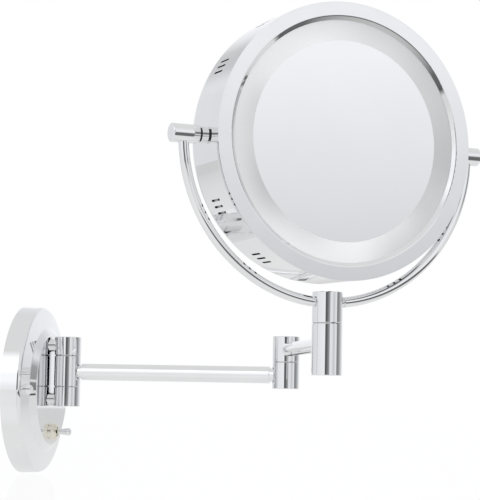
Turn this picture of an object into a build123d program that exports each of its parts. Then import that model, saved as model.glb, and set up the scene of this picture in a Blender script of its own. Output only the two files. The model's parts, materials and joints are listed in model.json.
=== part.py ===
"""Extendable shaving mirror: a lighted, two-sided round mirror in a yoke, on a double swing arm.

Frame: +Z up, the wall is the plane Y = 0 and the mirror stands out along -Y.
The origin is the centre of the wall plate, on the wall. Millimetres throughout.
"""
import math
import os

from build123d import *

# ---- running fits and seams -------------------------------------------------------------
RUN = 0.05                  # radial clearance of a shaft turning in its hole
SEAM = 0.5                  # gap between two knuckles, filled by a thin washer
WASHER_T = 0.45             # seam washer, the rest of the seam is running clearance
STAND_OFF = 0.05            # axial clearance beside a turning face
OVERCUT = 1.0               # how far a cutting tool runs past the face that it cuts

# ---- wall plate -------------------------------------------------------------------------
PLATE_R = 75.0              # outer radius against the wall
SKIRT_DRAFT = 0.8           # the skirt narrows by this much towards its top
SKIRT_DEPTH = 17.3          # wall to the outer edge of the face
SKIRT_ROUND = 3.5
FACE_WIDTH = 17.7           # sloping face between the skirt and the raised centre
FACE_RISE = 3.5
STEP_WIDTH = 6.5            # slope up to the raised centre
STEP_RISE = 4.7
STEP_ROUND = 2.4
COVER_T = 1.2               # pressed sheet thickness
SKIRT_TOP_R = PLATE_R - SKIRT_DRAFT
PLATEAU_FOOT_R = SKIRT_TOP_R - FACE_WIDTH
PLATEAU_FOOT_D = SKIRT_DEPTH + FACE_RISE
PLATEAU_R = PLATEAU_FOOT_R - STEP_WIDTH
PLATEAU_D = PLATEAU_FOOT_D + STEP_RISE
COVER_INSIDE_D = PLATEAU_D - COVER_T

CAP_NUT_OFFSET = 4.5        # cap nut's axis outside the foot of the raised centre
CAP_NUT_X = PLATEAU_FOOT_R + CAP_NUT_OFFSET
CAP_NUT_R = 4.8
CAP_NUT_H = 5.2
CAP_NUT_BASE = 1.8          # straight foot below the dome
CAP_NUT_TOP_R = 3.0
CAP_NUT_ROUND = 1.7
COVER_STUD_R = 2.0
COVER_STUD_REACH = 3.1      # into the cap nut
STRAP_T = 2.5
STRAP_END = 7.0             # strap beyond each stud
STRAP_H = 24.0
STRAP_ROUND = 8.0
BOX_SCREW_SPACING = 83.3    # screw spacing of a standard wall box
BOX_SCREW_HOLE_R = 2.3
BACKING_T = 3.0             # plate behind the raised centre that carries the arm
BACKING_W = 44.0
BACKING_LOW = -22.0
BACKING_ROUND = 5.5
BACKING_GAP = 0.5           # between the plate's end and the cover's inner bend

# ---- toggle switch ----------------------------------------------------------------------
SWITCH_Z = -37.5
SWITCH_BUSH_R = 5.9
SWITCH_BORE_R = 4.0
SWITCH_BUSH_PROUD = 0.8     # threads showing in front of the nut
SWITCH_NUT_AF = 14.0
SWITCH_NUT_T = 3.2
SWITCH_LOCK_T = 1.5
SWITCH_RING_R = 6.9
SWITCH_RING_T = 1.6
SWITCH_W = 13.0
SWITCH_H = 17.0
SWITCH_BODY_D = 20.0
SWITCH_ROUND = 1.0
SWITCH_FACE_D = PLATEAU_D + SWITCH_RING_T + SWITCH_NUT_T + SWITCH_BUSH_PROUD
LEVER_PIVOT_D = PLATEAU_D + 2.0
LEVER_NECK_R = 1.5
LEVER_WAIST_R = 2.2
LEVER_WAIST = 6.0           # pivot to the waist
LEVER_TIP_R = 3.6
LEVER_TIP_ROUND = 1.2
LEVER_REACH = 13.5          # lever tip beyond the bushing
LEVER_TILT = 13.0           # lever angle either side of straight

# ---- swing joints -----------------------------------------------------------------------
KNUCKLE_R = 12.0
KNUCKLE_WALL = 2.5
KNUCKLE_EDGE = 0.5
KNUCKLE_BORE_R = KNUCKLE_R - KNUCKLE_WALL
WEB_T = 3.5                 # floor of a knuckle, at the seam
PLUG_T = 2.0
PIN_WALL = 1.8
PIN_CORE_GAP = 4.5          # between the pin and the knuckle's bore
PIN_R = KNUCKLE_BORE_R - PIN_CORE_GAP
PIN_BORE_R = PIN_R - PIN_WALL
PIN_NUT_GAP = 1.4           # between the nut's corners and the knuckle's bore
PIN_NUT_AF = 2 * (KNUCKLE_BORE_R - PIN_NUT_GAP) * math.cos(math.radians(30))
PIN_NUT_T = 4.0
PIN_PROUD = 0.8             # pin beyond its nut
SPRING_T = 0.8              # wave washer that gives the joint its friction
SPRING_R = PIN_R + 2.6
SEAM_WASHER_R = KNUCKLE_R - 0.8

# ---- wall knuckles ----------------------------------------------------------------------
WALL_AXIS_GAP = 1.8         # between the raised centre and the knuckles
WALL_TO_AXIS = PLATEAU_D + WALL_AXIS_GAP + KNUCKLE_R
WALL_LOW = -14.7
WALL_SEAM_LOW = 3.0
WALL_SEAM_HIGH = 31.0
WALL_HIGH = 48.0
FORK_STUD_R = 3.0
FORK_STUD_BORE_R = 1.7
FORK_STUD_LOW_Z = -8.5
FORK_STUD_HIGH_Z = 40.0
FORK_STUD_PROUD = 1.0
FORK_NUT_AF = 10.0
FORK_NUT_T = 4.0
FORK_SHOULDER_R = 6.0       # shoulder of the stud, seated on the cover
FORK_HEIGHTS = (FORK_STUD_LOW_Z, FORK_STUD_HIGH_Z)

# ---- arms -------------------------------------------------------------------------------
ARM_LENGTH = 200.0          # joint axis to joint axis, both arms
ARM_TUBE_WALL = 1.5
ARM_1_Z = 16.7
ARM_1_R = 7.5
ARM_2_Z = 39.2
ARM_2_R = 6.0
COLLAR_GRIP = 10.0          # length of the threaded collar inside the tube
COLLAR_WALL = 1.6
NECK = 2.2                  # bare collar between a knuckle and a tube
ELBOW_LOW = 4.5
ELBOW_SEAM = 28.0
ELBOW_HIGH = 50.9
HEAD_KNUCKLE_LOW = 14.7
HEAD_SEAM = 55.2
HEAD_KNUCKLE_HIGH = 79.6
ARM_1_ANGLE = -90.0         # straight out from the wall
ARM_2_ANGLE = 197.6         # direction of the second arm as it stands
HEAD_ANGLE = 214.0          # direction the front mirror faces

# ---- mirror head ------------------------------------------------------------------------
HEAD_R = 108.0
HEAD_FRONT = 30.0           # pivot axis to the front rim
HEAD_REAR = 30.0            # pivot axis to the rear rim
CASING_T = 1.5
CASING_IN_R = HEAD_R - CASING_T
REAR_ROUND = 12.0
REAR_LIP = 16.0             # width of the rear shoulder and its lip
BEZEL_FLAT = 11.0           # width of the flat bezel face
BEZEL_ROLL_W = 3.0          # width of the rolled inner edge
BEZEL_ROLL = 2.2            # depth of the rolled inner edge
BEZEL_T = 1.2
BEZEL_LIP_T = 0.6           # bezel's edge where it holds the glass
BEZEL_ROUND = 1.5
BEZEL_SKIRT = 7.0
GLASS_T = 4.0
GLASS_EDGE_GAP = 1.0
FRONT_MIRROR_R = 78.2
REAR_MIRROR_R = 75.0
CONCAVE_SAG = 4.0           # depth of the curved magnifying mirror
FRONT_GLASS_HIGH = HEAD_FRONT - BEZEL_ROLL - BEZEL_LIP_T
FRONT_GLASS_LOW = FRONT_GLASS_HIGH - GLASS_T
REAR_GLASS_LOW = CASING_T - HEAD_REAR
REAR_DISH_HIGH = REAR_GLASS_LOW + GLASS_T + CONCAVE_SAG

# ---- head pivots ------------------------------------------------------------------------
FLANGE_R = 6.6
FLANGE_OUT = HEAD_R + 2.6   # outer face of the flange that seats on the casing
SHANK_R = 4.0
SHANK_IN = HEAD_R - 7.5
HEAD_NUT_AF = 12.0
HEAD_NUT_T = 3.5
TAB_T = 1.5
TAB_HALF_W = 6.0            # end tab of the reflector plate, along the head's axis
TAB_HALF_H = 11.0
TAB_NOTCH_H = 7.5           # half height of the notch that leaves room for the nut
PIVOT_R = 3.0
PIVOT_BORE_R = 1.4
PIVOT_WASHER_T = 1.9
PIVOT_WASHER_R = 5.2
PIVOT_POCKET_R = 4.8
PIVOT_POCKET = 9.3          # depth of the pocket behind the end plug
PIVOT_TAIL = 2.0            # pivot shaft inside the pocket
CLIP_T = 0.8
CLIP_GROOVE_R = 2.5
CLIP_GAP = 0.5              # between the clip and the pocket

# ---- yoke -------------------------------------------------------------------------------
YOKE_END_R = 7.3
YOKE_END_LENGTH = 21.8
YOKE_END_ROUND = 1.4
YOKE_END_IN = FLANGE_OUT + PIVOT_WASHER_T
YOKE_END_OUT = YOKE_END_IN + YOKE_END_LENGTH
YOKE_SOCKET_DEPTH = 2.8
YOKE_TUBE_INSET = 11.1      # end piece's inner face to the tube's axis
YOKE_TUBE_R = 4.1
YOKE_TUBE_WALL = 1.0
YOKE_BORE_R = YOKE_TUBE_R - YOKE_TUBE_WALL
YOKE_COLLAR_WALL = 1.0
YOKE_NECK = 2.0
YOKE_R = YOKE_END_IN + YOKE_TUBE_INSET
YOKE_ENTRY_Z = 71.2         # yoke tube's axis where it enters the top knuckle
PIVOT_Z = YOKE_ENTRY_Z + YOKE_R
PIVOT_POCKET_START = YOKE_END_OUT - PIVOT_POCKET
PIVOT_TIP = PIVOT_POCKET_START + PIVOT_TAIL

# ---- vents and lamps --------------------------------------------------------------------
LAMP_ANGLE = 44.0           # lamps above and below the pivot axis, both sides
VENT_SPREAD = 14.0          # a vent group either side of each lamp
VENT_PITCH = 2.85           # degrees between two slots
VENT_SLOTS = 3
VENT_LENGTH = 15.0
VENT_WIDTH = 1.8
LAMP_R = 9.0
LAMP_LENGTH = 42.0
LAMP_ROUND = 5.4
LAMP_SOCKET_R = 10.0
LAMP_SOCKET_START = 1.5     # socket's mouth beyond the lamp's glass
LAMP_SOCKET_LENGTH = 18.0
LAMP_BASE_R = 6.5
LAMP_BASE_LENGTH = 12.0
LAMP_RIM_GAP = 9.5          # between a socket and the casing, at the lamp's middle
LAMP_CIRCLE_R = CASING_IN_R - LAMP_SOCKET_R - LAMP_RIM_GAP

# ---- reflector plate and posts ----------------------------------------------------------
SPINE_T = 1.5               # reflector plate between the two mirrors
SPINE_GAP = 1.0             # between the plate's edge and a lamp
SPINE_R = LAMP_CIRCLE_R - LAMP_R - SPINE_GAP
POST_R = 4.0
POST_CIRCLE_R = 55.0
POST_COUNT = 4

# ---- wiring -----------------------------------------------------------------------------
WIRE_R = 1.1
WIRE_BEND = 3.0
WIRE_BREAK = 0.3            # leads stop this far from the plane of a joint's seam
WIRE_SPLICE = 0.2           # gap at the splice of the yoke's two leads
WINDOW_GAP = 0.4            # wire to the edge of the pin's window
WINDOW_END = 2.0            # pin's window to the webs of the arm's knuckle
HARNESS_INSET = 7.0         # harness ring inside the reflector plate's edge
HARNESS_LIFT = 3.0
TERMINAL_W = 22.0
TERMINAL_LOW = 8.0
TERMINAL_HIGH = 24.0
TERMINAL_T = 12.0
TERMINAL_ROUND = 1.5
LEAD_D = 12.0               # depth of the leads behind the backing plate
SWITCH_LEAD_X = 4.0         # switch leads either side of the centre


# ---- shape helpers ----------------------------------------------------------------------
def rod(radius, start, end):
    """Solid cylinder between two points."""
    begin = Vector(*start)
    run = Vector(*end) - begin
    return extrude(Plane(origin=begin, z_dir=run) * Circle(radius), run.length)


def pipe(outer, inner, start, end):
    return rod(outer, start, end) - rod(inner, start, end)


def post(radius, low, high):
    """Upright cylinder on the local Z axis."""
    return rod(radius, (0, 0, low), (0, 0, high))


def block(x, y, z):
    """Box from three (low, high) pairs."""
    size = [high - low for low, high in (x, y, z)]
    return Pos(x[0], y[0], z[0]) * Box(*size, align=(Align.MIN, Align.MIN, Align.MIN))


def hex_nut(across_flats, bore, low, high):
    """Upright hexagon nut on the local Z axis."""
    flat = RegularPolygon(across_flats / 2, 6, major_radius=False) - Circle(bore)
    return extrude(Pos(0, 0, low) * flat, high - low)


def turned(points, rounds=()):
    """Ring turned about Z from (radius, height) corners; rounds are (corner, radius)."""
    outline = make_face(Polyline(*points, close=True))
    for corner, radius in rounds:
        vertex = outline.vertices().sort_by_distance(corner)[0]
        outline = fillet(vertex, radius)
    return revolve(Plane.XZ * outline, Axis.Z)


def arc_rod(radius, ring_radius, start, end):
    """Rod bent round the local X axis; angles in degrees up from straight down towards +Y."""
    section = Pos(0, 0, -ring_radius) * (Plane.XZ * Circle(radius))
    bent = revolve(section, Axis.X, end - start)
    return Rot(start, 0, 0) * bent


def wire(points):
    """Round lead along straight runs with tangent bends."""
    path = FilletPolyline(*points, radius=WIRE_BEND)
    section = Plane(origin=path @ 0, z_dir=path % 0) * Circle(WIRE_R)
    return sweep(section, path)


def group(solids):
    """Several separate solids kept together as one node."""
    return Compound(children=list(solids))


# ---- placements -------------------------------------------------------------------------
def direction(angle):
    return Vector(math.cos(math.radians(angle)), math.sin(math.radians(angle)), 0)


WALL_AXIS = Vector(0, -WALL_TO_AXIS, 0)
ELBOW_AXIS = WALL_AXIS + direction(ARM_1_ANGLE) * ARM_LENGTH
HEAD_AXIS = ELBOW_AXIS + direction(ARM_2_ANGLE) * ARM_LENGTH

TO_WALL = Rot(90, 0, 0)                                   # local Z becomes -Y, out of the wall
TO_WALL_KNUCKLE = Pos(*WALL_AXIS)
TO_ARM_1 = Pos(*WALL_AXIS) * Rot(0, 0, ARM_1_ANGLE)
TO_ARM_2 = Pos(*ELBOW_AXIS) * Rot(0, 0, ARM_2_ANGLE)
TO_YOKE = Pos(*HEAD_AXIS) * Rot(0, 0, HEAD_ANGLE)
TO_HEAD = Pos(HEAD_AXIS.X, HEAD_AXIS.Y, PIVOT_Z) * Rot(0, 0, HEAD_ANGLE)
FACE_FORWARD = Rot(0, 90, 0)                              # local Z becomes X, the mirror's normal


# ---- swing-joint pieces -----------------------------------------------------------------
def knuckle(low, high, hollows):
    """Hollow barrel; what is left between the hollows is a web with the pin's hole."""
    barrel = post(KNUCKLE_R, low, high)
    barrel = chamfer(barrel.edges().filter_by(GeomType.CIRCLE), KNUCKLE_EDGE)
    for bottom, top in hollows:
        barrel -= post(KNUCKLE_BORE_R, bottom, top)
    return barrel - post(PIN_R + RUN, low, high)


def plug(low, high):
    return post(KNUCKLE_BORE_R, low, high)


def seam_washer(low):
    return post(SEAM_WASHER_R, low, low + WASHER_T) - post(PIN_R, low, low + WASHER_T)


def hollow_pin(low, high):
    return post(PIN_R, low, high) - post(PIN_BORE_R, low, high)


def pin_nut(low):
    return hex_nut(PIN_NUT_AF, PIN_R, low, low + PIN_NUT_T)


# ---- wall plate -------------------------------------------------------------------------
def cover_outline(inset):
    """Turned solid of the cover's outside, or of its inside when inset by the sheet."""
    rim = (SKIRT_TOP_R - inset, SKIRT_DEPTH - inset)
    foot = (PLATEAU_FOOT_R - inset, PLATEAU_FOOT_D - inset)
    top = (PLATEAU_R - inset, PLATEAU_D - inset)
    points = [(0, 0), (PLATE_R - inset, 0), rim, foot, top, (0, top[1])]
    return turned(points, [(rim, SKIRT_ROUND - inset), (foot, STEP_ROUND), (top, STEP_ROUND)])


def face_depth(radius):
    """Depth of the cover's sloping outer face at a radius."""
    share = (SKIRT_TOP_R - radius) / FACE_WIDTH
    return SKIRT_DEPTH + share * FACE_RISE


def cap_nut():
    """Domed nut, turned about Z, standing on Z = 0."""
    shoulder = (CAP_NUT_R, CAP_NUT_BASE)
    crown = (CAP_NUT_TOP_R, CAP_NUT_H)
    points = [(0, 0), (CAP_NUT_R, 0), shoulder, crown, (0, CAP_NUT_H)]
    return turned(points, [(shoulder, CAP_NUT_ROUND), (crown, CAP_NUT_ROUND)])


def wall_plate():
    """Cover, the strap that is screwed to the wall box, and the plate that carries the arm."""
    cover = cover_outline(0) - cover_outline(COVER_T)
    through = (COVER_INSIDE_D - OVERCUT, PLATEAU_D + OVERCUT)
    for height in FORK_HEIGHTS:
        cover -= Pos(0, height, 0) * post(FORK_STUD_R, *through)
    cover -= Pos(0, SWITCH_Z, 0) * post(SWITCH_BUSH_R, *through)

    strap_reach = CAP_NUT_X + STRAP_END
    strap = block((-strap_reach, strap_reach), (-STRAP_H / 2, STRAP_H / 2), (0, STRAP_T))
    strap = fillet(strap.edges().filter_by(Axis.Z), STRAP_ROUND)

    seat = face_depth(CAP_NUT_X)
    seat_slope = math.degrees(math.atan2(FACE_RISE, FACE_WIDTH))
    cap_nuts = []
    for side in (-1, 1):
        at = Pos(side * CAP_NUT_X, 0, 0)
        stud = at * post(COVER_STUD_R, 0, seat + COVER_STUD_REACH)
        cover -= at * post(COVER_STUD_R, STRAP_T, PLATEAU_D)
        strap -= Pos(side * BOX_SCREW_SPACING / 2, 0, 0) * post(BOX_SCREW_HOLE_R, 0, STRAP_T)
        strap += stud
        seated = Pos(side * CAP_NUT_X, 0, seat) * Rot(0, side * seat_slope, 0)
        cap_nuts.append(seated * cap_nut() - stud - cover_outline(0))

    back = COVER_INSIDE_D - BACKING_T
    reach = PLATEAU_R - COVER_T - STEP_ROUND - BACKING_GAP
    backing = block((-BACKING_W / 2, BACKING_W / 2), (BACKING_LOW, reach), (back, COVER_INSIDE_D))
    backing = fillet(backing.edges().filter_by(Axis.Z), BACKING_ROUND)
    backing &= post(reach, back, COVER_INSIDE_D)
    for height in FORK_HEIGHTS:
        backing -= Pos(0, height, 0) * post(FORK_STUD_R, back, COVER_INSIDE_D)
    nuts = [
        Pos(0, height, 0) * hex_nut(FORK_NUT_AF, FORK_STUD_R, back - FORK_NUT_T, back)
        for height in FORK_HEIGHTS
    ]
    nodes = {
        "wall_cover": cover,
        "wall_strap": strap,
        "cover_cap_nuts": group(cap_nuts),
        "backing_plate": backing,
        "fork_nuts": group(nuts),
    }
    return {name: TO_WALL * shape for name, shape in nodes.items()}


def plate_wiring():
    """Terminal block on the backing plate, the switch's leads, and the feed into the pin."""
    back = COVER_INSIDE_D - BACKING_T
    terminal = TO_WALL * block(
        (-TERMINAL_W / 2, TERMINAL_W / 2), (TERMINAL_LOW, TERMINAL_HIGH), (back - TERMINAL_T, back)
    )
    terminal = fillet(terminal.edges().filter_by(Axis.Y), TERMINAL_ROUND)
    feed = wire(
        [
            (0, -LEAD_D, TERMINAL_LOW),
            (0, -LEAD_D, FORK_STUD_LOW_Z),
            (0, -WALL_TO_AXIS, FORK_STUD_LOW_Z),
            (0, -WALL_TO_AXIS, WALL_SEAM_LOW + WEB_T),
        ]
    )
    leads = [
        rod(WIRE_R, (x, -LEAD_D, SWITCH_Z + SWITCH_H / 2), (x, -LEAD_D, TERMINAL_LOW))
        for x in (-SWITCH_LEAD_X, SWITCH_LEAD_X)
    ]
    return {"terminal_block": terminal, "plate_wires": group([feed] + leads)}


def fork():
    """Fixed top and bottom knuckles, their shouldered studs, and the pin through all three."""
    nodes = {}
    seam_low = WALL_SEAM_LOW - SEAM / 2
    seam_high = WALL_SEAM_HIGH + SEAM / 2
    low_web = seam_low - WEB_T
    high_web = seam_high + WEB_T

    bottom = knuckle(WALL_LOW, seam_low, [(WALL_LOW, low_web)])
    bottom -= rod(FORK_STUD_R, (0, 0, FORK_STUD_LOW_Z), (0, WALL_TO_AXIS, FORK_STUD_LOW_Z))
    top = knuckle(seam_high, WALL_HIGH, [(high_web, WALL_HIGH)])
    top -= rod(FORK_STUD_R, (0, 0, FORK_STUD_HIGH_Z), (0, WALL_TO_AXIS, FORK_STUD_HIGH_Z))
    nodes["wall_knuckle_bottom"] = TO_WALL_KNUCKLE * bottom
    nodes["wall_knuckle_top"] = TO_WALL_KNUCKLE * top
    nodes["wall_knuckle_plugs"] = group(
        TO_WALL_KNUCKLE * plug(low, low + PLUG_T) for low in (WALL_LOW, WALL_HIGH - PLUG_T)
    )

    stud_back = COVER_INSIDE_D - BACKING_T - FORK_NUT_T - FORK_STUD_PROUD
    stud_front = WALL_TO_AXIS - KNUCKLE_BORE_R
    barrel = TO_WALL_KNUCKLE * post(KNUCKLE_R, WALL_LOW, WALL_HIGH)
    studs = []
    for z in FORK_HEIGHTS:
        back, seat, front = (0, -stud_back, z), (0, -PLATEAU_D, z), (0, -stud_front, z)
        stud = pipe(FORK_STUD_R, FORK_STUD_BORE_R, back, front)
        shoulder = pipe(FORK_SHOULDER_R, FORK_STUD_BORE_R, seat, front) - barrel
        studs.append(stud + shoulder)
    nodes["fork_studs"] = group(studs)

    pin = hollow_pin(low_web - PIN_NUT_T - PIN_PROUD, high_web + PIN_NUT_T + PIN_PROUD)
    window_low = WALL_SEAM_LOW + SEAM / 2 + WEB_T + WINDOW_END
    window_high = WALL_SEAM_HIGH - SEAM / 2 - WEB_T - WINDOW_END
    side = PIN_R + OVERCUT
    pin -= block((-side, side), (-side, WIRE_R + WINDOW_GAP), (window_low, window_high))
    nodes["wall_pin"] = TO_WALL_KNUCKLE * pin
    nodes["wall_pin_nuts"] = group(
        TO_WALL_KNUCKLE * pin_nut(low) for low in (low_web - PIN_NUT_T, high_web)
    )
    nodes["wall_seam_washers"] = group(
        TO_WALL_KNUCKLE * seam_washer(low) for low in (seam_low, seam_high - WASHER_T)
    )
    return nodes


def switch():
    """Body, bushing and nuts of the toggle switch, in the wall plate's turned frame."""
    body_top = COVER_INSIDE_D - SWITCH_LOCK_T
    body = block(
        (-SWITCH_W / 2, SWITCH_W / 2), (-SWITCH_H / 2, SWITCH_H / 2), (body_top - SWITCH_BODY_D, body_top)
    )
    body = fillet(body.edges().filter_by(Axis.Z), SWITCH_ROUND)
    body -= post(SWITCH_BORE_R, body_top - SWITCH_BODY_D / 2, body_top)
    bushing = post(SWITCH_BUSH_R, body_top, SWITCH_FACE_D) - post(SWITCH_BORE_R, body_top, SWITCH_FACE_D)
    ring_top = PLATEAU_D + SWITCH_RING_T
    ring = post(SWITCH_RING_R, PLATEAU_D, ring_top) - post(SWITCH_BUSH_R, PLATEAU_D, ring_top)
    front_nut = hex_nut(SWITCH_NUT_AF, SWITCH_BUSH_R, ring_top, ring_top + SWITCH_NUT_T)
    lock_nut = hex_nut(SWITCH_NUT_AF, SWITCH_BUSH_R, body_top, COVER_INSIDE_D)
    nodes = {
        "switch_body": body,
        "switch_bushing": bushing,
        "switch_washer": ring,
        "switch_nuts": group([front_nut, lock_nut]),
    }
    place = TO_WALL * Pos(0, SWITCH_Z, 0)
    return {name: place * shape for name, shape in nodes.items()}


def toggle():
    """Lever of the switch: a ball in the bushing with a bat-shaped handle."""
    tip = SWITCH_FACE_D + LEVER_REACH - LEVER_PIVOT_D
    bat = turned(
        [(0, 0), (LEVER_NECK_R, 0), (LEVER_WAIST_R, LEVER_WAIST), (LEVER_TIP_R, tip), (0, tip)],
        [((LEVER_TIP_R, tip), LEVER_TIP_ROUND)],
    )
    lever = bat + Sphere(SWITCH_BORE_R - RUN)
    placed = Pos(0, SWITCH_Z, LEVER_PIVOT_D) * Rot(0, -LEVER_TILT, 0) * lever
    return {"toggle_lever": TO_WALL * placed}


# ---- arms -------------------------------------------------------------------------------
def arm_tube(z, radius):
    """Tube of an arm and the two threaded collars that screw it to its knuckles."""
    bore = radius - ARM_TUBE_WALL
    tube_start = KNUCKLE_R + NECK
    collar_end = tube_start + COLLAR_GRIP
    tube = pipe(radius, bore, (tube_start, 0, z), (ARM_LENGTH - tube_start, 0, z))
    ends = [
        (KNUCKLE_BORE_R, collar_end),
        (ARM_LENGTH - collar_end, ARM_LENGTH - KNUCKLE_BORE_R),
    ]
    collars = [pipe(bore, bore - COLLAR_WALL, (start, 0, z), (end, 0, z)) for start, end in ends]
    return tube, group(collars)


def arm_entry(z, radius, towards):
    """Hole in a knuckle's wall for an arm's collar, on the side that faces the tube."""
    return rod(radius - ARM_TUBE_WALL, (0, 0, z), (towards * (KNUCKLE_R + OVERCUT), 0, z))


def joint_stack(seam):
    """Hollow pin fixed in the lower knuckle, its two nuts, and its wave and seam washers."""
    low_web = seam - SEAM / 2 - WEB_T
    high_web = seam + SEAM / 2 + WEB_T
    spring_low = high_web + STAND_OFF
    spring_high = spring_low + SPRING_T
    pin = hollow_pin(low_web - PIN_NUT_T - PIN_PROUD, spring_high + PIN_NUT_T + PIN_PROUD)
    nuts = group([pin_nut(low_web - PIN_NUT_T), pin_nut(spring_high)])
    spring = post(SPRING_R, spring_low, spring_high) - post(PIN_R, spring_low, spring_high)
    return pin, nuts, group([spring, seam_washer(seam - SEAM / 2)])


def arm_1():
    nodes = {}
    low = WALL_SEAM_LOW + SEAM / 2
    high = WALL_SEAM_HIGH - SEAM / 2
    barrel = knuckle(low, high, [(low + WEB_T, high - WEB_T)])
    nodes["arm_1_wall_knuckle"] = barrel - arm_entry(ARM_1_Z, ARM_1_R, 1)
    nodes["arm_1_tube"], nodes["arm_1_collars"] = arm_tube(ARM_1_Z, ARM_1_R)

    at_elbow = Pos(ARM_LENGTH, 0, 0)
    seam_low = ELBOW_SEAM - SEAM / 2
    barrel = knuckle(ELBOW_LOW, seam_low, [(ELBOW_LOW, seam_low - WEB_T)])
    nodes["arm_1_elbow_knuckle"] = at_elbow * (barrel - arm_entry(ARM_1_Z, ARM_1_R, -1))
    nodes["elbow_bottom_plug"] = at_elbow * plug(ELBOW_LOW, ELBOW_LOW + PLUG_T)
    pin, nuts, washers = joint_stack(ELBOW_SEAM)
    nodes["elbow_pin"] = at_elbow * pin
    nodes["elbow_nuts"] = at_elbow * nuts
    nodes["elbow_washers"] = at_elbow * washers

    start = WALL_SEAM_LOW + WEB_T + WINDOW_END + WIRE_BREAK
    end = ELBOW_SEAM - WIRE_BREAK
    nodes["arm_1_wire"] = wire(
        [(0, 0, start), (0, 0, ARM_1_Z), (ARM_LENGTH, 0, ARM_1_Z), (ARM_LENGTH, 0, end)]
    )
    return {name: TO_ARM_1 * shape for name, shape in nodes.items()}


def arm_2():
    nodes = {}
    seam_high = ELBOW_SEAM + SEAM / 2
    barrel = knuckle(seam_high, ELBOW_HIGH, [(seam_high + WEB_T, ELBOW_HIGH)])
    nodes["arm_2_elbow_knuckle"] = barrel - arm_entry(ARM_2_Z, ARM_2_R, 1)
    nodes["arm_2_tube"], nodes["arm_2_collars"] = arm_tube(ARM_2_Z, ARM_2_R)

    at_head = Pos(ARM_LENGTH, 0, 0)
    seam_low = HEAD_SEAM - SEAM / 2
    barrel = knuckle(HEAD_KNUCKLE_LOW, seam_low, [(HEAD_KNUCKLE_LOW, seam_low - WEB_T)])
    nodes["arm_2_head_knuckle"] = at_head * (barrel - arm_entry(ARM_2_Z, ARM_2_R, -1))
    nodes["arm_2_plugs"] = group(
        [
            plug(ELBOW_HIGH - PLUG_T, ELBOW_HIGH),
            at_head * plug(HEAD_KNUCKLE_LOW, HEAD_KNUCKLE_LOW + PLUG_T),
        ]
    )
    pin, nuts, washers = joint_stack(HEAD_SEAM)
    nodes["head_pin"] = at_head * pin
    nodes["head_nuts"] = at_head * nuts
    nodes["head_washers"] = at_head * washers

    start = ELBOW_SEAM + WIRE_BREAK
    end = HEAD_SEAM - WIRE_BREAK
    nodes["arm_2_wire"] = wire(
        [(0, 0, start), (0, 0, ARM_2_Z), (ARM_LENGTH, 0, ARM_2_Z), (ARM_LENGTH, 0, end)]
    )
    return {name: TO_ARM_2 * shape for name, shape in nodes.items()}


# ---- yoke -------------------------------------------------------------------------------
def yoke_arc(radius, start, end, side):
    """Part of the yoke's half ring, measured in degrees up from its lowest point."""
    bent = arc_rod(radius, YOKE_R, start, end)
    if side < 0:
        bent = mirror(bent, Plane.XZ)
    return Pos(0, 0, PIVOT_Z) * bent


def arc_degrees(length):
    """Angle that a length takes up along the yoke's ring."""
    return math.degrees(length / YOKE_R)


def along_pivot(side, start, end, radius, z=0):
    """Rod on the head's pivot axis, between two distances from the head's centre."""
    return rod(radius, (0, side * start, z), (0, side * end, z))


def yoke_end(side, tube_end):
    """Turned end piece that takes the yoke's tube from below and the head's pivot inside."""
    piece = along_pivot(side, YOKE_END_IN, YOKE_END_OUT, YOKE_END_R, PIVOT_Z)
    rim = piece.edges().filter_by(GeomType.CIRCLE).sort_by(Axis.Y)
    piece = fillet(rim[-1] if side > 0 else rim[0], YOKE_END_ROUND)
    piece -= along_pivot(side, YOKE_END_IN, PIVOT_POCKET_START, PIVOT_R + RUN, PIVOT_Z)
    piece -= along_pivot(side, PIVOT_POCKET_START, YOKE_END_OUT, PIVOT_POCKET_R, PIVOT_Z)
    return piece - yoke_arc(YOKE_TUBE_R, tube_end - arc_degrees(2 * YOKE_END_R), tube_end, side)


def pivot_washer(side):
    start = FLANGE_OUT + STAND_OFF
    ring = along_pivot(side, start, YOKE_END_IN, PIVOT_WASHER_R, PIVOT_Z)
    return ring - along_pivot(side, start, YOKE_END_IN, PIVOT_R + RUN, PIVOT_Z)


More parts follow.
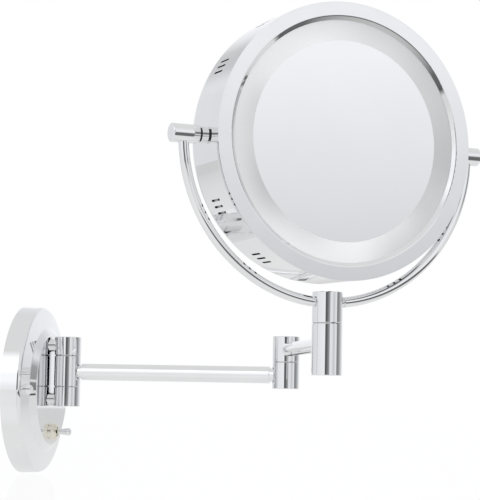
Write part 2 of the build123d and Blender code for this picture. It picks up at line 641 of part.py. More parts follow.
def yoke():
    """Half ring of two tubes, screwed to the turning knuckle, with a pivot piece at each end."""
    nodes = {}
    over = arc_degrees(OVERCUT)
    tube_start = math.degrees(math.asin((KNUCKLE_R + YOKE_NECK) / YOKE_R))
    tube_end = 90 - math.degrees(math.asin((YOKE_END_R - YOKE_SOCKET_DEPTH) / YOKE_R))
    collar_start = math.degrees(math.asin(KNUCKLE_BORE_R / YOKE_R))
    collar_end = tube_start + arc_degrees(COLLAR_GRIP)

    seam_high = HEAD_SEAM + SEAM / 2
    barrel = knuckle(seam_high, HEAD_KNUCKLE_HIGH, [(seam_high + WEB_T, HEAD_KNUCKLE_HIGH)])
    collars, ends, washers = [], [], []
    plugs = [plug(HEAD_KNUCKLE_HIGH - PLUG_T, HEAD_KNUCKLE_HIGH)]
    for side, name in ((1, "right"), (-1, "left")):
        barrel -= yoke_arc(YOKE_BORE_R, 0, tube_start, side)
        tube_bore = yoke_arc(YOKE_BORE_R, tube_start - over, tube_end + over, side)
        nodes[f"yoke_tube_{name}"] = yoke_arc(YOKE_TUBE_R, tube_start, tube_end, side) - tube_bore
        collar_bore = yoke_arc(YOKE_BORE_R - YOKE_COLLAR_WALL, collar_start - over, collar_end + over, side)
        collars.append(yoke_arc(YOKE_BORE_R, collar_start, collar_end, side) - collar_bore)
        ends.append(yoke_end(side, tube_end))
        washers.append(pivot_washer(side))
        plugs.append(along_pivot(side, YOKE_END_OUT - PLUG_T, YOKE_END_OUT, PIVOT_POCKET_R, PIVOT_Z))
    nodes["yoke_knuckle"] = barrel
    nodes["yoke_collars"] = group(collars)
    nodes["yoke_ends"] = group(ends)
    nodes["yoke_plugs"] = group(plugs)
    nodes["pivot_washers"] = group(washers)

    rise_y = YOKE_R * math.sin(math.radians(collar_end))
    rise_z = PIVOT_Z - YOKE_R * math.cos(math.radians(collar_end))
    stem = wire([(0, 0, HEAD_SEAM + WIRE_BREAK), (0, 0, YOKE_ENTRY_Z), (0, rise_y, rise_z)])
    rise = yoke_arc(WIRE_R, collar_end + arc_degrees(WIRE_SPLICE), tube_end - over, 1)
    nodes["yoke_wire"] = group([stem, rise])
    return {name: TO_YOKE * shape for name, shape in nodes.items()}


# ---- mirror head ------------------------------------------------------------------------
def lamp_angles():
    """Angles about the mirror's normal, from straight up, of the four lamps."""
    return [90 - LAMP_ANGLE, 90 + LAMP_ANGLE, 270 - LAMP_ANGLE, 270 + LAMP_ANGLE]


def vent_angles():
    """Angles of all the slots: a group either side of each lamp."""
    middle = (VENT_SLOTS - 1) / 2
    return [
        lamp + spread + (slot - middle) * VENT_PITCH
        for lamp in lamp_angles()
        for spread in (-VENT_SPREAD, VENT_SPREAD)
        for slot in range(VENT_SLOTS)
    ]


def casing():
    """Side band, rounded rear shoulder and rear lip in one drawn shell, with vent slots."""
    lip_r = HEAD_R - REAR_LIP
    outer_corner = (HEAD_R, -HEAD_REAR)
    inner_corner = (CASING_IN_R, REAR_GLASS_LOW)
    shell = turned(
        [
            (HEAD_R, HEAD_FRONT),
            outer_corner,
            (lip_r, -HEAD_REAR),
            (lip_r, REAR_GLASS_LOW),
            inner_corner,
            (CASING_IN_R, HEAD_FRONT),
        ],
        [(outer_corner, REAR_ROUND), (inner_corner, REAR_ROUND - CASING_T)],
    )
    shell = FACE_FORWARD * shell
    for side in (-1, 1):
        shell -= along_pivot(side, SHANK_IN, FLANGE_OUT, SHANK_R)
    slot = extrude(SlotOverall(VENT_LENGTH, VENT_WIDTH), 2 * CASING_T)
    for angle in vent_angles():
        shell -= Rot(angle, 0, 0) * Pos(0, 0, CASING_IN_R - CASING_T / 2) * slot
    return shell


def bezel():
    """Front ring: flat face, rolled inner edge, and a skirt inside the casing."""
    flat_r = HEAD_R - BEZEL_FLAT
    opening_r = flat_r - BEZEL_ROLL_W
    skirt_in = CASING_IN_R - BEZEL_T
    back = HEAD_FRONT - BEZEL_T
    inner_corner = (flat_r, HEAD_FRONT)
    points = [
        (CASING_IN_R, HEAD_FRONT),
        inner_corner,
        (opening_r, HEAD_FRONT - BEZEL_ROLL),
        (opening_r, FRONT_GLASS_HIGH),
        (flat_r, FRONT_GLASS_HIGH),
        (flat_r + BEZEL_T, back),
        (skirt_in, back),
        (skirt_in, HEAD_FRONT - BEZEL_SKIRT),
        (CASING_IN_R, HEAD_FRONT - BEZEL_SKIRT),
    ]
    return FACE_FORWARD * turned(points, [(inner_corner, BEZEL_ROUND)])


def glass_ring(outer, inner, low):
    """Flat frosted ring as thick as the glass."""
    high = low + GLASS_T
    return FACE_FORWARD * (post(outer, low, high) - post(inner, low, high))


def dish_ball(cover):
    """Ball with the magnifying mirror's curve, thicker by the glass that covers it."""
    curve_r = (REAR_MIRROR_R ** 2 + CONCAVE_SAG ** 2) / (2 * CONCAVE_SAG)
    return Pos(0, 0, REAR_GLASS_LOW - curve_r + CONCAVE_SAG) * Sphere(curve_r + cover)


def magnifying_mirror():
    """Dished glass of even thickness, hollow towards the rear."""
    blank = post(REAR_MIRROR_R, REAR_GLASS_LOW, REAR_DISH_HIGH)
    return FACE_FORWARD * ((blank & dish_ball(GLASS_T)) - dish_ball(0))


def mirrors():
    """Plain mirror in front, magnifying mirror behind, each in its frosted ring of glass."""
    front_ring_r = CASING_IN_R - BEZEL_T - GLASS_EDGE_GAP
    rear_ring_r = HEAD_R - REAR_ROUND - GLASS_EDGE_GAP
    return {
        "front_mirror": FACE_FORWARD * post(FRONT_MIRROR_R, FRONT_GLASS_LOW, FRONT_GLASS_HIGH),
        "front_diffuser": glass_ring(front_ring_r, FRONT_MIRROR_R, FRONT_GLASS_LOW),
        "rear_diffuser": glass_ring(rear_ring_r, REAR_MIRROR_R, REAR_GLASS_LOW),
        "rear_mirror": magnifying_mirror(),
    }


def reflector_plate():
    """Plate between the mirrors, with an end tab at each pivot notched round the pivot's nut."""
    half = SPINE_T / 2
    plate = FACE_FORWARD * post(SPINE_R, -half, half)
    tab_out = math.sqrt(CASING_IN_R ** 2 - TAB_HALF_H ** 2)
    tab_in = tab_out - TAB_T
    height = (-TAB_HALF_H, TAB_HALF_H)
    for side in (-1, 1):
        plate += block((-half, half), sorted((0, side * tab_out)), height)
        plate += block((-TAB_HALF_W, TAB_HALF_W), sorted((side * tab_in, side * tab_out)), height)
        notch = sorted((side * (SHANK_IN - OVERCUT), side * tab_in))
        plate -= block((-half, half), notch, (-TAB_NOTCH_H, TAB_NOTCH_H))
        plate -= along_pivot(side, SHANK_IN, HEAD_R, SHANK_R)
    return plate, tab_in


def mirror_posts():
    """Spacers from the reflector plate to the back of each mirror."""
    half = SPINE_T / 2
    solids = []
    for index in range(POST_COUNT):
        angle = math.radians((index + 0.5) * 360 / POST_COUNT)
        y = POST_CIRCLE_R * math.sin(angle)
        z = POST_CIRCLE_R * math.cos(angle)
        solids.append(rod(POST_R, (half, y, z), (FRONT_GLASS_LOW, y, z)))
        rear = rod(POST_R, (-half, y, z), (REAR_GLASS_LOW, y, z))
        solids.append(rear - FACE_FORWARD * dish_ball(GLASS_T))
    return group(solids)


def trunnion(side):
    """Turned stud: shank through the casing, flange outside it, shaft for the yoke's end."""
    flange = along_pivot(side, SHANK_IN, FLANGE_OUT, FLANGE_R)
    flange -= FACE_FORWARD * post(HEAD_R, -HEAD_REAR, HEAD_FRONT)
    stud = flange + along_pivot(side, SHANK_IN, FLANGE_OUT, SHANK_R)
    stud += along_pivot(side, FLANGE_OUT, PIVOT_TIP, PIVOT_R)
    groove = (PIVOT_POCKET_START + STAND_OFF, PIVOT_POCKET_START + STAND_OFF + CLIP_T)
    neck = along_pivot(side, *groove, CLIP_GROOVE_R)
    clip = along_pivot(side, *groove, PIVOT_POCKET_R - CLIP_GAP) - neck
    bore = along_pivot(side, SHANK_IN, PIVOT_TIP, PIVOT_BORE_R)
    return stud - clip - bore, clip


def lamps():
    """Four tubular lamps lying along the rim between the two mirrors, and their sockets."""
    glass, bases, sockets = [], [], []
    for index, angle in enumerate(lamp_angles()):
        to_socket = 1 if index % 2 else -1
        at_lamp = Rot(angle, 0, 0) * Pos(0, 0, LAMP_CIRCLE_R)
        tail = LAMP_LENGTH / 2
        tube = along_pivot(to_socket, -tail, tail, LAMP_R)
        tube = fillet(tube.edges().filter_by(GeomType.CIRCLE), LAMP_ROUND)
        base = along_pivot(to_socket, tail, tail + LAMP_BASE_LENGTH, LAMP_BASE_R)
        cup = along_pivot(to_socket, tail + LAMP_SOCKET_START, tail + LAMP_SOCKET_LENGTH, LAMP_SOCKET_R)
        glass.append(at_lamp * tube)
        bases.append(at_lamp * base)
        sockets.append(at_lamp * (cup - base))
    return {"lamp_bulbs": group(glass), "lamp_bases": group(bases), "lamp_sockets": group(sockets)}


def lamp_harness():
    """Ring of wire in front of the reflector plate, a lead to each socket and one to a pivot."""
    ring_r = SPINE_R - HARNESS_INSET
    harness = FACE_FORWARD * (Pos(0, 0, HARNESS_LIFT) * Torus(ring_r, WIRE_R))
    harness += rod(WIRE_R, (HARNESS_LIFT, ring_r, 0), (HARNESS_LIFT, SHANK_IN - OVERCUT, 0))
    socket_at = (LAMP_LENGTH + LAMP_SOCKET_LENGTH) / 2 + LAMP_SOCKET_START
    swing = math.degrees(math.atan2(socket_at, LAMP_CIRCLE_R))
    reach = math.hypot(socket_at, LAMP_CIRCLE_R)
    for index, angle in enumerate(lamp_angles()):
        to_socket = 1 if index % 2 else -1
        lead = rod(WIRE_R, (HARNESS_LIFT, 0, ring_r), (HARNESS_LIFT, 0, reach))
        tail = LAMP_LENGTH / 2
        cup = along_pivot(to_socket, tail, tail + LAMP_SOCKET_LENGTH, LAMP_SOCKET_R)
        cup = Rot(angle, 0, 0) * Pos(0, 0, LAMP_CIRCLE_R) * cup
        harness += Rot(angle - to_socket * swing, 0, 0) * lead - cup
    return harness


def head():
    nodes = {"head_casing": casing(), "front_bezel": bezel()}
    nodes.update(mirrors())
    nodes["reflector_plate"], tab_in = reflector_plate()
    nodes["mirror_posts"] = mirror_posts()
    studs, clips, nuts = [], [], []
    for side in (1, -1):
        stud, clip = trunnion(side)
        studs.append(stud)
        clips.append(clip)
        nuts.append(Rot(-90 * side, 0, 0) * hex_nut(HEAD_NUT_AF, SHANK_R, tab_in - HEAD_NUT_T, tab_in))
    nodes["trunnions"] = group(studs)
    nodes["pivot_clips"] = group(clips)
    nodes["trunnion_nuts"] = group(nuts)
    nodes.update(lamps())
    nodes["lamp_harness"] = lamp_harness()
    return {name: TO_HEAD * shape for name, shape in nodes.items()}


def main():
    nodes = {}
    for section in (wall_plate, plate_wiring, fork, switch, toggle, arm_1, arm_2, yoke, head):
        nodes.update(section())
    os.makedirs("parts", exist_ok=True)
    for name, shape in nodes.items():
        export_step(shape, f"parts/{name}.step")
    print(len(nodes), "nodes")


main()
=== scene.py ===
"""Looks of an extendable shaving mirror: chrome wall plate, swing arms, yoke and lighted head."""
import json
import math

import bpy
from mathutils import Matrix, Vector


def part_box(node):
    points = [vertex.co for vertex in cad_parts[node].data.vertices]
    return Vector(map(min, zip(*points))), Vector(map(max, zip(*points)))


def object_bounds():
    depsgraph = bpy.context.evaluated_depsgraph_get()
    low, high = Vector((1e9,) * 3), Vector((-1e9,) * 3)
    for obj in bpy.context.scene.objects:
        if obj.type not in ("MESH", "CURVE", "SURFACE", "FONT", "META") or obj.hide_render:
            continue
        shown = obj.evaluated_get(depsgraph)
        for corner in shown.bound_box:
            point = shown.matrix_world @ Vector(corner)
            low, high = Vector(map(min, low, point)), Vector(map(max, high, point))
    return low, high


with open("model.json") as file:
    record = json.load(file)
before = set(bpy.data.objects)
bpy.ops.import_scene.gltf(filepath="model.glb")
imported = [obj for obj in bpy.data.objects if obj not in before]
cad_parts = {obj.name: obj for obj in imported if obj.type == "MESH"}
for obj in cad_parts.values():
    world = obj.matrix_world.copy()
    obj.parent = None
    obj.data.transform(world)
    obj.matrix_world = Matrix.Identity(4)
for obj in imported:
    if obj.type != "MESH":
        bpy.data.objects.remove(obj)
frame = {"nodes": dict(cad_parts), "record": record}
cad_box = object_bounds()

# ---- camera: a long lens level with the wall plate, looking slightly up at the head ----------
CAMERA_AT = Vector((-1.5634, -0.4742, -0.0010))
CAMERA_YAW = math.radians(10.09)
CAMERA_PITCH = math.radians(4.64)
CAMERA_ROLL = math.radians(1.061)
CAMERA_LENS_MM = 128.05
CAMERA_SENSOR_MM = 36.0

# ---- studio: brightness that the chrome reflects, by degrees round from the camera's side -------
STUDIO_FACING = math.radians(190.0)
# Each band is (degrees round, brightness), for three heights of card from the level upwards.
LEVEL_BANDS = (
    (-180, 0.98), (-165, 0.90), (-140, 0.78), (-96, 0.80), (-84, 0.86), (-80, 0.46), (-76, 0.86),
    (-17, 0.93), (-14, 0.07), (2, 0.18), (18, 0.42), (21, 0.84), (38, 0.82), (44, 0.66), (56, 0.66),
    (62, 0.82), (74, 0.84), (77, 0.20), (100, 0.34), (120, 0.62), (140, 0.88), (180, 0.98),
)
RAISED_BANDS = (
    (-180, 0.98), (-165, 0.92), (-140, 0.80), (-84, 0.84), (-80, 0.55), (-76, 0.88), (-40, 1.10),
    (-17, 1.05), (-14, 0.12), (2, 0.22), (18, 0.50), (21, 0.90), (38, 0.95), (60, 0.95), (74, 0.88),
    (77, 0.30), (100, 0.45), (120, 0.70), (140, 0.90), (180, 0.98),
)
UPPER_BANDS = (
    (-180, 0.84), (-168, 0.80), (-160, 0.56), (-150, 0.56), (-144, 0.84), (-60, 0.95), (-46, 1.30),
    (-18, 1.30), (-12, 0.78), (24, 0.88), (60, 0.84), (75, 0.70), (95, 0.85), (110, 0.68),
    (135, 0.74), (155, 0.86), (180, 0.84),
)
CEILING = 0.78
RISES = ((3, 11), (20, 27), (38, 52))       # degrees of height over which one set gives way
STUDIO_TINT = (1.0, 1.005, 1.03)
FLOOR_FRONT = 0.84          # painted light: how bright the sheet is where the chrome reflects it, in front
FLOOR_BACK = 0.66           # ... behind the object
FLOOR_DARK = 0.05           # ... and in a painted dark patch off to the side that the mirror faces
DARK_PATCH_START = 0.62          # metres from the origin to the dark patch's closer edge
DARK_PATCH_HALF_W = 0.55         # half the dark patch's width, across the way that it lies
DARK_PATCH_BLUR = 0.1            # width of the dark patch's soft edges
DARK_PATCH_TURN = math.radians(48.0)     # way to the dark patch, from the studio's facing
FLOOR_FADE = (0.1, 1.2)     # metres along X over which the front's brightness gives way
FLOOR_HALF = 6.0            # half the sheet's side
FLOOR_GAP = 0.0005          # between the sheet and the lowest point of the plate
FLOOR_SHEEN = 0.12          # share of mirror-like reflection in the sheet
FLOOR_SHEEN_ROUGHNESS = 0.03
WHITE = (1.0, 1.0, 1.0, 1.0)
BLACK = (0.0, 0.0, 0.0, 1.0)
CAMERA_REACH = 50.0         # farthest distance that is drawn

# ---- finishes ---------------------------------------------------------------------------------
PATCH_SPAN = (0.3, 0.7)     # stretch of the soft noise that is spread over the two tones
FINE_DETAIL = 2.0
COAT_ROUGHNESS = 0.05

# ---- the frosted ring of the head: its hub, the way across it, and the painted light and shade round the ring ----
HEAD_FACING = math.radians(214.0)
HEAD_FORWARD = (math.cos(HEAD_FACING), math.sin(HEAD_FACING), 0.0)
HEAD_ACROSS = (-math.sin(HEAD_FACING), math.cos(HEAD_FACING), 0.0)
HEAD_HUB = tuple((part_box("pivot_clips")[0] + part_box("pivot_clips")[1]) / 2)
FROST_INNER = 0.080
FROST_OUTER = 0.097
FROST_TINT = (0.985, 1.0, 1.01)
FROST_SKIN = 0.026          # from the hub's plane, just inside the outer face of either ring
FROST_PAINTED_GLOW = 0.42           # painted glow: the glass gives off light that stands in for room light scattered back from the hollow
FROST_GRAIN = 0.0004
FROST_RELIEF = 2e-6
FROST_PATCH = 0.015
FROST_ROUGHNESS = (0.34, 0.42)
FROST_COAT = 0.15
FROST_COAT_ROUGHNESS = 0.2
# Each stop is (degrees round the ring, painted brightness), beside the mirror and beside the bezel:
# painted light and shade in the glass's colour.
FROST_PAINTED_LIGHT_NEAR = (
    (-180, 0.60), (-150, 0.50), (-120, 0.66), (-85, 0.82), (-55, 0.70), (-30, 0.56), (-5, 0.50),
    (30, 0.58), (70, 0.68), (110, 0.80), (140, 0.76), (165, 0.60), (180, 0.60),
)
FROST_PAINTED_LIGHT_FAR = (
    (-180, 0.70), (-150, 0.70), (-120, 0.81), (-85, 0.78), (-60, 0.58), (-30, 0.56), (-8, 0.48),
    (30, 0.54), (70, 0.58), (100, 0.66), (130, 0.76), (160, 0.74), (180, 0.70),
)


# Blender's mix node repeats its socket names for every data type, so these are its places.
MIX_FACTOR, MIX_FIRST_FLOAT, MIX_SECOND_FLOAT = 0, 2, 3
MIX_FIRST_COLOUR, MIX_SECOND_COLOUR, MIX_COLOUR_OUT = 6, 7, 2


# ---- node helpers ---------------------------------------------------------------------------
def add_node(tree, kind, **settings):
    """New shader node; settings are its properties, and socket values come through put()."""
    node = tree.nodes.new(kind)
    for key, value in settings.items():
        setattr(node, key, value)
    return node


def put(tree, node, **sockets):
    """Sets each input by value or by a link; n0 and n1 are the first and second input."""
    for key, value in sockets.items():
        by_place = key[0] == "n" and key[1:].isdigit()
        socket = node.inputs[int(key[1:]) if by_place else key.replace("_", " ")]
        if isinstance(value, bpy.types.NodeSocket):
            tree.links.new(value, socket)
        else:
            socket.default_value = value
    return node


def math_node(tree, operation, first, second=None):
    node = add_node(tree, "ShaderNodeMath", operation=operation)
    put(tree, node, n0=first)
    if second is not None:
        put(tree, node, n1=second)
    return node.outputs[0]


def ramp(tree, factor, stops, easing="LINEAR"):
    """Colour ramp through stops of (place, colour)."""
    node = add_node(tree, "ShaderNodeValToRGB")
    node.color_ramp.interpolation = easing
    elements = node.color_ramp.elements
    while len(elements) < len(stops):
        elements.new(0.5)
    for element, (place, colour) in zip(elements, stops):
        element.position = place
        element.color = (*colour, 1.0)
    put(tree, node, Fac=factor)
    return node.outputs["Color"]


def remap(tree, value, low, high, to_low=0.0, to_high=1.0):
    node = add_node(tree, "ShaderNodeMapRange")
    put(tree, node, Value=value, From_Min=low, From_Max=high, To_Min=to_low, To_Max=to_high)
    return node.outputs["Result"]


def mix_colour(tree, factor, first, second):
    node = add_node(tree, "ShaderNodeMix", data_type="RGBA")
    put(tree, node, **{f"n{MIX_FIRST_COLOUR}": first, f"n{MIX_SECOND_COLOUR}": second})
    put(tree, node, **{f"n{MIX_FACTOR}": factor})
    return node.outputs[MIX_COLOUR_OUT]


def degree_stops(bands, tint):
    """Ramp stops all the way round from (degrees, brightness), with the tint."""
    return [((degrees + 180) / 360, [level * part for part in tint]) for degrees, level in bands]


def object_noise(tree, size, detail=3.0, stretch=(1.0, 1.0, 1.0)):
    """Noise whose features are about size metres across."""
    place = add_node(tree, "ShaderNodeTexCoord")
    scaled = add_node(tree, "ShaderNodeMapping")
    put(tree, scaled, Vector=place.outputs["Object"], Scale=stretch)
    noise = add_node(tree, "ShaderNodeTexNoise")
    put(tree, noise, Vector=scaled.outputs["Vector"], Scale=1.0 / size, Detail=detail)
    return noise.outputs["Fac"]


# ---- materials ------------------------------------------------------------------------------
def plain_material(name):
    made = bpy.data.materials.new(name)
    made.use_nodes = True
    return made, made.node_tree, made.node_tree.nodes["Principled BSDF"]


def surface(name, tones, metallic, roughness, patch, grain, relief, stretch=(1, 1, 1), coat=0.0):
    """Two tones and two roughnesses mixed by soft patches, over a fine grain of low relief."""
    made, tree, shader = plain_material(name)
    cloud = object_noise(tree, patch)
    fine = object_noise(tree, grain, FINE_DETAIL, stretch)
    colour = ramp(tree, cloud, tuple(zip(PATCH_SPAN, tones)))
    rough = remap(tree, cloud, *PATCH_SPAN, *roughness)
    bump = add_node(tree, "ShaderNodeBump")
    put(tree, bump, Height=fine, Strength=1.0, Distance=relief)
    put(tree, shader, Base_Color=colour, Roughness=rough, Metallic=metallic)
    put(tree, shader, Normal=bump.outputs["Normal"])
    put(tree, shader, Coat_Weight=coat, Coat_Roughness=COAT_ROUGHNESS)
    return made


def frosted_glass():
    """Satin glass over the lamps, its colour painted lighter and darker round the ring and out from the
    mirror, with painted light given off by its outer faces.
    """
    made, tree, shader = plain_material("frosted_glass")
    place = add_node(tree, "ShaderNodeTexCoord")
    from_hub = add_node(tree, "ShaderNodeVectorMath", operation="SUBTRACT")
    put(tree, from_hub, n0=place.outputs["Object"], n1=HEAD_HUB)
    across = add_node(tree, "ShaderNodeVectorMath", operation="DOT_PRODUCT")
    put(tree, across, n0=from_hub.outputs["Vector"], n1=HEAD_ACROSS)
    height = add_node(tree, "ShaderNodeSeparateXYZ")
    put(tree, height, Vector=from_hub.outputs["Vector"])
    turn = math_node(tree, "ARCTAN2", height.outputs["Z"], across.outputs["Value"])
    around = remap(tree, turn, -math.pi, math.pi)
    flat = add_node(tree, "ShaderNodeCombineXYZ")
    put(tree, flat, X=across.outputs["Value"], Y=height.outputs["Z"])
    radius = add_node(tree, "ShaderNodeVectorMath", operation="LENGTH")
    put(tree, radius, n0=flat.outputs["Vector"])
    outward = remap(tree, radius.outputs["Value"], FROST_INNER, FROST_OUTER)
    # painted light and shade: the glass's colour is lighter and darker round the ring and out from the
    # mirror
    painted_near = ramp(tree, around, degree_stops(FROST_PAINTED_LIGHT_NEAR, FROST_TINT), "EASE")
    painted_far = ramp(tree, around, degree_stops(FROST_PAINTED_LIGHT_FAR, FROST_TINT), "EASE")
    grain = object_noise(tree, FROST_GRAIN, FINE_DETAIL)
    bump = add_node(tree, "ShaderNodeBump")
    put(tree, bump, Height=grain, Strength=1.0, Distance=FROST_RELIEF)
    rough = remap(tree, object_noise(tree, FROST_PATCH), *PATCH_SPAN, *FROST_ROUGHNESS)
    painted_colour = mix_colour(tree, outward, painted_near, painted_far)
    put(tree, shader, Base_Color=painted_colour, Roughness=rough, Normal=bump.outputs["Normal"])
    # painted glow: the outer faces give off light in the painted colour of the ring
    along = add_node(tree, "ShaderNodeVectorMath", operation="DOT_PRODUCT")
    put(tree, along, n0=from_hub.outputs["Vector"], n1=HEAD_FORWARD)
    depth = math_node(tree, "ABSOLUTE", along.outputs["Value"])
    outside = math_node(tree, "GREATER_THAN", depth, FROST_SKIN)
    glow = mix_colour(tree, outside, BLACK, painted_colour)
    put(tree, shader, Emission_Color=glow, Emission_Strength=FROST_PAINTED_GLOW)
    put(tree, shader, Coat_Weight=FROST_COAT, Coat_Roughness=FROST_COAT_ROUGHNESS)
    return made


def slot_materials():
    """One finish for each material slot of the record."""
    return {
        "chrome": surface("chrome_plate", ((0.86, 0.865, 0.875), (0.885, 0.89, 0.895)), 1.0,
                          (0.025, 0.05), 0.03, 0.0012, 2e-7),
        "nickel": surface("nickel_plate", ((0.80, 0.76, 0.66), (0.87, 0.84, 0.75)), 1.0,
                          (0.16, 0.24), 0.004, 0.0004, 2e-6),
        "zinc_steel": surface("zinc_plated_steel", ((0.50, 0.51, 0.54), (0.66, 0.67, 0.66)), 1.0,
                              (0.30, 0.46), 0.006, 0.0006, 6e-6),
        "spring_steel": surface("spring_steel", ((0.36, 0.37, 0.39), (0.46, 0.47, 0.49)), 1.0,
                                (0.26, 0.36), 0.003, 0.0003, 4e-6, (1, 8, 1)),
        "brass": surface("turned_brass", ((0.74, 0.56, 0.26), (0.82, 0.66, 0.35)), 1.0,
                         (0.20, 0.34), 0.004, 0.0003, 5e-6),
        "white_enamel": surface("white_enamel", ((0.80, 0.80, 0.78), (0.88, 0.88, 0.86)), 0.0,
                                (0.28, 0.42), 0.01, 0.0011, 1.5e-5, coat=0.3),
        "black_plastic": surface("black_plastic", ((0.018, 0.018, 0.02), (0.034, 0.034, 0.036)), 0.0,
                                 (0.38, 0.52), 0.006, 0.0004, 1e-5),
        "white_plastic": surface("white_plastic", ((0.78, 0.77, 0.73), (0.84, 0.83, 0.80)), 0.0,
                                 (0.35, 0.48), 0.006, 0.0005, 8e-6),
        "frosted_glass": frosted_glass(),
        "opal_glass": surface("opal_lamp_glass", ((0.90, 0.89, 0.85), (0.95, 0.94, 0.91)), 0.0,
                              (0.08, 0.14), 0.01, 0.0008, 2e-6, coat=0.6),
        "silvered_glass": surface("silvered_glass", ((0.915, 0.92, 0.93), (0.93, 0.935, 0.94)), 1.0,
                                  (0.004, 0.012), 0.05, 0.004, 2e-8),
        "wire_cover": surface("wire_insulation", ((0.30, 0.30, 0.31), (0.40, 0.40, 0.41)), 0.0,
                              (0.40, 0.52), 0.008, 0.0005, 1e-5),
    }


# ---- stage ----------------------------------------------------------------------------------
def build_camera():
    forward = Vector((math.cos(CAMERA_YAW) * math.cos(CAMERA_PITCH),
                      math.sin(CAMERA_YAW) * math.cos(CAMERA_PITCH), math.sin(CAMERA_PITCH)))
    level = Vector((math.sin(CAMERA_YAW), -math.cos(CAMERA_YAW), 0.0))
    square = level.cross(forward)
    right = math.cos(CAMERA_ROLL) * level + math.sin(CAMERA_ROLL) * square
    up = math.cos(CAMERA_ROLL) * square - math.sin(CAMERA_ROLL) * level
    data = bpy.data.cameras.new("camera")
    data.lens = CAMERA_LENS_MM
    data.sensor_width = CAMERA_SENSOR_MM
    data.clip_end = CAMERA_REACH
    camera = bpy.data.objects.new("camera", data)
    turned = Matrix((right, up, -forward)).transposed().to_4x4()
    camera.matrix_world = Matrix.Translation(CAMERA_AT) @ turned
    bpy.context.scene.collection.objects.link(camera)
    bpy.context.scene.camera = camera


def build_world():
    """White behind the object; bands of light and dark card round it for the chrome to reflect."""
    world = bpy.data.worlds.new("studio")
    world.use_nodes = True
    tree = world.node_tree
    tree.nodes.clear()
    place = add_node(tree, "ShaderNodeTexCoord")
    turned = add_node(tree, "ShaderNodeMapping")
    put(tree, turned, Vector=place.outputs["Generated"], Rotation=(0.0, 0.0, -STUDIO_FACING))
    parts = add_node(tree, "ShaderNodeSeparateXYZ")
    put(tree, parts, Vector=turned.outputs["Vector"])
    turn = math_node(tree, "ARCTAN2", parts.outputs["Y"], parts.outputs["X"])
    around = remap(tree, turn, -math.pi, math.pi)
    colour = ramp(tree, around, degree_stops(LEVEL_BANDS, STUDIO_TINT))
    above = [ramp(tree, around, degree_stops(bands, STUDIO_TINT)) for bands in (RAISED_BANDS, UPPER_BANDS)]
    above.append((CEILING, CEILING, CEILING, 1.0))
    for span, higher in zip(RISES, above):
        low, high = (math.sin(math.radians(degrees)) for degrees in span)
        rise = remap(tree, parts.outputs["Z"], low, high)
        colour = mix_colour(tree, rise, colour, higher)
    reflected = add_node(tree, "ShaderNodeBackground")
    put(tree, reflected, Color=colour, Strength=1.0)
    seen = add_node(tree, "ShaderNodeBackground")
    put(tree, seen, Color=WHITE, Strength=1.0)
    path = add_node(tree, "ShaderNodeLightPath")
    choice = add_node(tree, "ShaderNodeMixShader")
    put(tree, choice, Fac=path.outputs["Is Camera Ray"], n1=reflected.outputs[0], n2=seen.outputs[0])
    out = add_node(tree, "ShaderNodeOutputWorld")
    put(tree, out, Surface=choice.outputs[0])
    bpy.context.scene.world = world


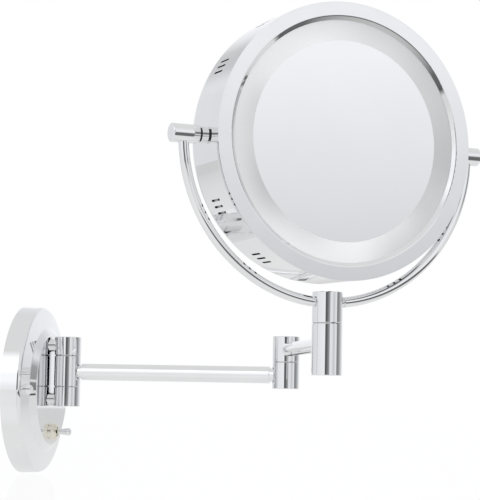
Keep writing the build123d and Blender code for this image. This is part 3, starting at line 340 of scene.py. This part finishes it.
def build_floor(height):
    """Wide white sheet just under the plate, with a faint sheen; to reflections its glow is painted
    lighter in front, darker behind, and dark in a patch off to one side.
    """
    mesh = bpy.data.meshes.new("floor")
    turns = ((-1, -1), (1, -1), (1, 1), (-1, 1))
    corners = [(x * FLOOR_HALF, y * FLOOR_HALF, height) for x, y in turns]
    mesh.from_pydata(corners, [], [(0, 1, 2, 3)])
    floor = bpy.data.objects.new("floor", mesh)
    bpy.context.scene.collection.objects.link(floor)
    made = bpy.data.materials.new("white_sheet")
    made.use_nodes = True
    tree = made.node_tree
    tree.nodes.clear()
    place = add_node(tree, "ShaderNodeTexCoord")
    apart = add_node(tree, "ShaderNodeSeparateXYZ")
    put(tree, apart, Vector=place.outputs["Object"])
    # painted light: the sheet's glow is lighter in front and darker behind
    bright = remap(tree, apart.outputs["X"], *FLOOR_FADE, FLOOR_FRONT, FLOOR_BACK)
    facing = STUDIO_FACING + DARK_PATCH_TURN
    reach = add_node(tree, "ShaderNodeVectorMath", operation="DOT_PRODUCT")
    put(tree, reach, n0=place.outputs["Object"], n1=(math.cos(facing), math.sin(facing), 0.0))
    aside = add_node(tree, "ShaderNodeVectorMath", operation="DOT_PRODUCT")
    put(tree, aside, n0=place.outputs["Object"], n1=(-math.sin(facing), math.cos(facing), 0.0))
    # painted dark patch in the sheet's glow, off to the side
    along = remap(tree, reach.outputs["Value"], DARK_PATCH_START, DARK_PATCH_START + DARK_PATCH_BLUR)
    off_axis = math_node(tree, "ABSOLUTE", aside.outputs["Value"])
    within = remap(tree, off_axis, DARK_PATCH_HALF_W, DARK_PATCH_HALF_W + DARK_PATCH_BLUR, 1.0, 0.0)
    painted_dark_patch = math_node(tree, "MULTIPLY", along, within)
    lit = math_node(tree, "MULTIPLY", bright, math_node(tree, "SUBTRACT", 1.0, painted_dark_patch))
    bright = math_node(tree, "ADD", lit, math_node(tree, "MULTIPLY", painted_dark_patch, FLOOR_DARK))
    # the camera sees plain white; reflections see the painted light and dark
    path = add_node(tree, "ShaderNodeLightPath")
    shade = add_node(tree, "ShaderNodeMix", data_type="FLOAT")
    tree.links.new(path.outputs["Is Camera Ray"], shade.inputs[MIX_FACTOR])
    tree.links.new(bright, shade.inputs[MIX_FIRST_FLOAT])
    shade.inputs[MIX_SECOND_FLOAT].default_value = 1.0
    glow = add_node(tree, "ShaderNodeEmission")
    put(tree, glow, Color=WHITE, Strength=shade.outputs[0])
    sheen = add_node(tree, "ShaderNodeBsdfGlossy")
    put(tree, sheen, Color=WHITE, Roughness=FLOOR_SHEEN_ROUGHNESS)
    both = add_node(tree, "ShaderNodeMixShader")
    put(tree, both, Fac=FLOOR_SHEEN, n1=glow.outputs[0], n2=sheen.outputs[0])
    out = add_node(tree, "ShaderNodeOutputMaterial")
    put(tree, out, Surface=both.outputs[0])
    mesh.materials.append(made)


bpy.context.scene.view_settings.view_transform = "Standard"
build_camera()
build_world()
build_floor(cad_box[0].z - FLOOR_GAP)

finishes = slot_materials()
for row in frame["record"]["subparts"]:
    mesh = frame["nodes"][row["node"]].data
    mesh.materials.clear()
    mesh.materials.append(finishes[row["material_slot"]])
